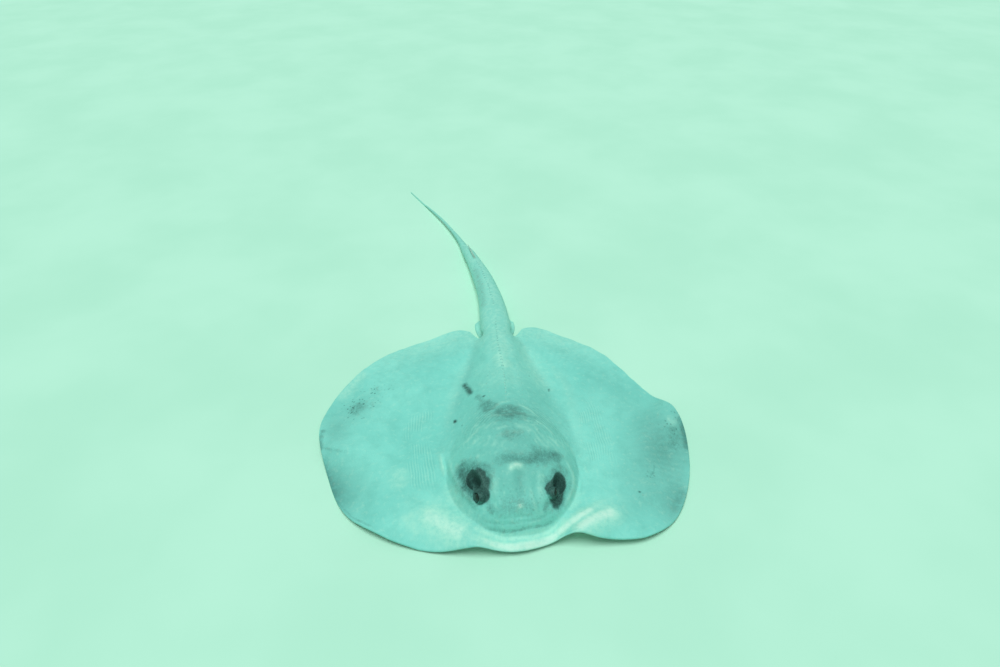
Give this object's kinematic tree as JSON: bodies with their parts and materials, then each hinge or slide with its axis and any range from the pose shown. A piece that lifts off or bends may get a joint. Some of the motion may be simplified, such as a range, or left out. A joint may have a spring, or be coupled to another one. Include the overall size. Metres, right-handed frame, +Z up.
{
  "type": "southern stingray, life-size model",
  "caption": "Still model of a pale, broad-winged stingray settled on the floor, margins rippled, tail bent to its right.",
  "frame": {"origin": "on the floor under the middle of the flat belly", "axes": "+Z up, +Y towards the tail, -Y towards the snout, +X towards the animal's left"},
  "size_m": [0.9664, 1.848, 0.1406],
  "materials": {
    "skin": "smooth, faintly mottled skin, satin, dusted with pale sand at the rim",
    "eye": "glossy, dark",
    "sting": "satin horn"
  },
  "bodies": {
    "root": {"head": "skin", "trunk": "skin", "wing_left": "skin", "wing_right": "skin", "pelvic_fin_left": "skin", "pelvic_fin_right": "skin", "tail_1": "skin", "tail_2": "skin", "tail_3": "skin", "tail_4": "skin", "eye_left": "eye", "eye_right": "eye", "tail_spine": "sting"}
  },
  "joints": []
}
